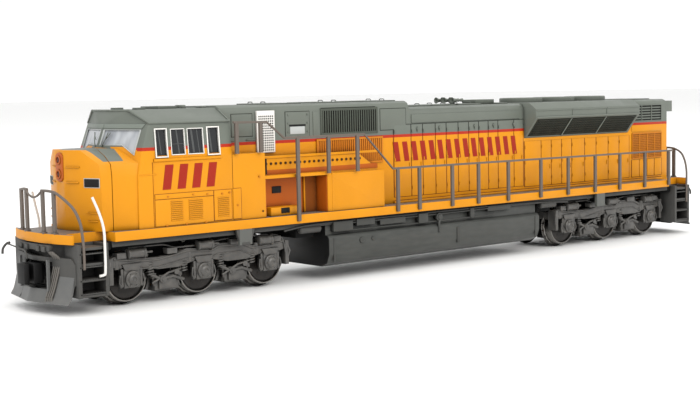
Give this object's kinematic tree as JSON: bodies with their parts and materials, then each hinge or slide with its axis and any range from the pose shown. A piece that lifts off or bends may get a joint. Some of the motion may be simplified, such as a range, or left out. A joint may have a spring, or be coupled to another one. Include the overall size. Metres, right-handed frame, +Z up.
{
  "type": "model diesel locomotive",
  "caption": "Small-scale road diesel locomotive with a safety cab, long hood, flared radiator and swivelling geared trucks.",
  "frame": {"origin": "under the middle of the engine, at the lowest point of the wheel flanges", "axes": "+X to the cab end, +Y to the engine's left side, +Z up; the rail's top is at 0.00055 m"},
  "size_m": [0.1528, 0.0204, 0.0295],
  "materials": {
    "body_yellow": "satin yellow-orange paint over moulded plastic",
    "roof_gray": "satin greenish gray",
    "underframe_gray": "matt gray",
    "truck_gray": "matt dark gray",
    "rail_gray": "matt brownish gray",
    "grille_black": "matt near-black",
    "white_trim": "satin white",
    "clear_plastic": "clear moulded plastic",
    "black_plastic": "matt black",
    "cast_metal": "bare zinc die casting, cast iron's density stands near zinc's",
    "wheel_metal": "blackened nickel silver",
    "brass": "machined brass",
    "steel": "ground steel",
    "motor_steel": "plated steel",
    "circuit_board": "green solder mask",
    "acetal": "natural acetal"
  },
  "bodies": {
    "body": {"walkway": "body_yellow", "hood_shell": "body_yellow", "cab_shell": "body_yellow", "nose_shell": "body_yellow", "equipment_box_left": "body_yellow", "equipment_box_right": "body_yellow", "radiator_housing": "roof_gray", "roof_fan_front": "roof_gray", "roof_fan_middle": "roof_gray", "roof_fan_rear": "roof_gray", "front_pilot": "underframe_gray", "rear_pilot": "underframe_gray", "fuel_tank": "underframe_gray", "exhaust_stack": "underframe_gray", "horn": "underframe_gray", "chassis_half_left": "cast_metal", "chassis_half_right": "cast_metal", "light_board": "circuit_board", "motor_case": "motor_steel", "intake_grille_left": "grille_black", "intake_grille_right": "grille_black", "radiator_grille_left": "grille_black", "radiator_grille_right": "grille_black", "cab_glazing": "clear_plastic", "front_light_guide": "clear_plastic", "rear_light_guide": "clear_plastic", "side_handrail_left": "rail_gray", "side_handrail_right": "rail_gray", "front_handrail_left": "rail_gray", "front_handrail_right": "rail_gray", "rear_handrail_left": "rail_gray", "rear_handrail_right": "rail_gray", "stair_grab_left": "white_trim", "stair_grab_right": "white_trim"},
    "drive_line": {"motor_armature": "steel", "front_flywheel": "brass", "rear_flywheel": "brass", "front_cardan_shaft": "acetal", "rear_cardan_shaft": "acetal", "front_worm": "brass", "rear_worm": "brass"},
    "front_coupler": {"front_coupler": "black_plastic"},
    "front_truck": {"front_truck_frame": "truck_gray", "front_gear_case": "black_plastic"},
    "front_tower_gear": {"front_tower_gear": "acetal"},
    "front_idler_gear_leading": {"front_idler_gear_leading": "acetal"},
    "front_idler_gear_trailing": {"front_idler_gear_trailing": "acetal"},
    "front_wheelset_leading": {"front_wheelset_leading": "wheel_metal"},
    "front_wheelset_middle": {"front_wheelset_middle": "wheel_metal"},
    "front_wheelset_trailing": {"front_wheelset_trailing": "wheel_metal"},
    "rear_coupler": {"rear_coupler": "black_plastic"},
    "rear_truck": {"rear_truck_frame": "truck_gray", "rear_gear_case": "black_plastic"},
    "rear_tower_gear": {"rear_tower_gear": "acetal"},
    "rear_idler_gear_leading": {"rear_idler_gear_leading": "acetal"},
    "rear_idler_gear_trailing": {"rear_idler_gear_trailing": "acetal"},
    "rear_wheelset_leading": {"rear_wheelset_leading": "wheel_metal"},
    "rear_wheelset_middle": {"rear_wheelset_middle": "wheel_metal"},
    "rear_wheelset_trailing": {"rear_wheelset_trailing": "wheel_metal"}
  },
  "joints": [
    {"name": "motor_spin", "type": "hinge", "parent": "body", "child": "drive_line", "pos_m": [0, 0, 0.01308], "axis": [1, 0, 0], "continuous": true},
    {"name": "front_coupler_swing", "type": "hinge", "parent": "body", "child": "front_coupler", "pos_m": [0.0686, 0, 0.00575], "axis": [0, 0, 1], "range_deg": [-10, 10], "stiffness_Nm_per_rad": 0.00002},
    {"name": "front_truck_swivel", "type": "hinge", "parent": "body", "child": "front_truck", "pos_m": [0.0492, 0, 0.01195], "axis": [0, 0, 1], "range_deg": [-10, 10]},
    {"name": "front_tower_gear_spin", "type": "hinge", "parent": "front_truck", "child": "front_tower_gear", "pos_m": [0.0492, 0, 0.00858], "axis": [0, 1, 0], "continuous": true},
    {"name": "front_idler_gear_leading_spin", "type": "hinge", "parent": "front_truck", "child": "front_idler_gear_leading", "pos_m": [0.05611, 0, 0.00655], "axis": [0, 1, 0], "continuous": true},
    {"name": "front_idler_gear_trailing_spin", "type": "hinge", "parent": "front_truck", "child": "front_idler_gear_trailing", "pos_m": [0.04229, 0, 0.00655], "axis": [0, 1, 0], "continuous": true},
    {"name": "front_wheelset_leading_spin", "type": "hinge", "parent": "front_truck", "child": "front_wheelset_leading", "pos_m": [0.062, 0, 0.00405], "axis": [0, 1, 0], "continuous": true},
    {"name": "front_wheelset_middle_spin", "type": "hinge", "parent": "front_truck", "child": "front_wheelset_middle", "pos_m": [0.0492, 0, 0.00405], "axis": [0, 1, 0], "continuous": true},
    {"name": "front_wheelset_trailing_spin", "type": "hinge", "parent": "front_truck", "child": "front_wheelset_trailing", "pos_m": [0.0364, 0, 0.00405], "axis": [0, 1, 0], "continuous": true},
    {"name": "rear_coupler_swing", "type": "hinge", "parent": "body", "child": "rear_coupler", "pos_m": [-0.0686, 0, 0.00575], "axis": [0, 0, 1], "range_deg": [-10, 10], "stiffness_Nm_per_rad": 0.00002},
    {"name": "rear_truck_swivel", "type": "hinge", "parent": "body", "child": "rear_truck", "pos_m": [-0.0492, 0, 0.01195], "axis": [0, 0, 1], "range_deg": [-10, 10]},
    {"name": "rear_tower_gear_spin", "type": "hinge", "parent": "rear_truck", "child": "rear_tower_gear", "pos_m": [-0.0492, 0, 0.00858], "axis": [0, 1, 0], "continuous": true},
    {"name": "rear_idler_gear_leading_spin", "type": "hinge", "parent": "rear_truck", "child": "rear_idler_gear_leading", "pos_m": [-0.04229, 0, 0.00655], "axis": [0, 1, 0], "continuous": true},
    {"name": "rear_idler_gear_trailing_spin", "type": "hinge", "parent": "rear_truck", "child": "rear_idler_gear_trailing", "pos_m": [-0.05611, 0, 0.00655], "axis": [0, 1, 0], "continuous": true},
    {"name": "rear_wheelset_leading_spin", "type": "hinge", "parent": "rear_truck", "child": "rear_wheelset_leading", "pos_m": [-0.0364, 0, 0.00405], "axis": [0, 1, 0], "continuous": true},
    {"name": "rear_wheelset_middle_spin", "type": "hinge", "parent": "rear_truck", "child": "rear_wheelset_middle", "pos_m": [-0.0492, 0, 0.00405], "axis": [0, 1, 0], "continuous": true},
    {"name": "rear_wheelset_trailing_spin", "type": "hinge", "parent": "rear_truck", "child": "rear_wheelset_trailing", "pos_m": [-0.062, 0, 0.00405], "axis": [0, 1, 0], "continuous": true}
  ],
  "couplings": [
    {"joint": "front_tower_gear_spin", "follows": "motor_spin", "ratio": -0.0625},
    {"joint": "front_idler_gear_leading_spin", "follows": "motor_spin", "ratio": 0.05},
    {"joint": "front_idler_gear_trailing_spin", "follows": "motor_spin", "ratio": 0.05},
    {"joint": "front_wheelset_leading_spin", "follows": "motor_spin", "ratio": -0.083333},
    {"joint": "front_wheelset_trailing_spin", "follows": "motor_spin", "ratio": -0.083333},
    {"joint": "rear_tower_gear_spin", "follows": "motor_spin", "ratio": -0.0625},
    {"joint": "rear_idler_gear_leading_spin", "follows": "motor_spin", "ratio": 0.05},
    {"joint": "rear_idler_gear_trailing_spin", "follows": "motor_spin", "ratio": 0.05},
    {"joint": "rear_wheelset_leading_spin", "follows": "motor_spin", "ratio": -0.083333},
    {"joint": "rear_wheelset_trailing_spin", "follows": "motor_spin", "ratio": -0.083333}
  ]
}
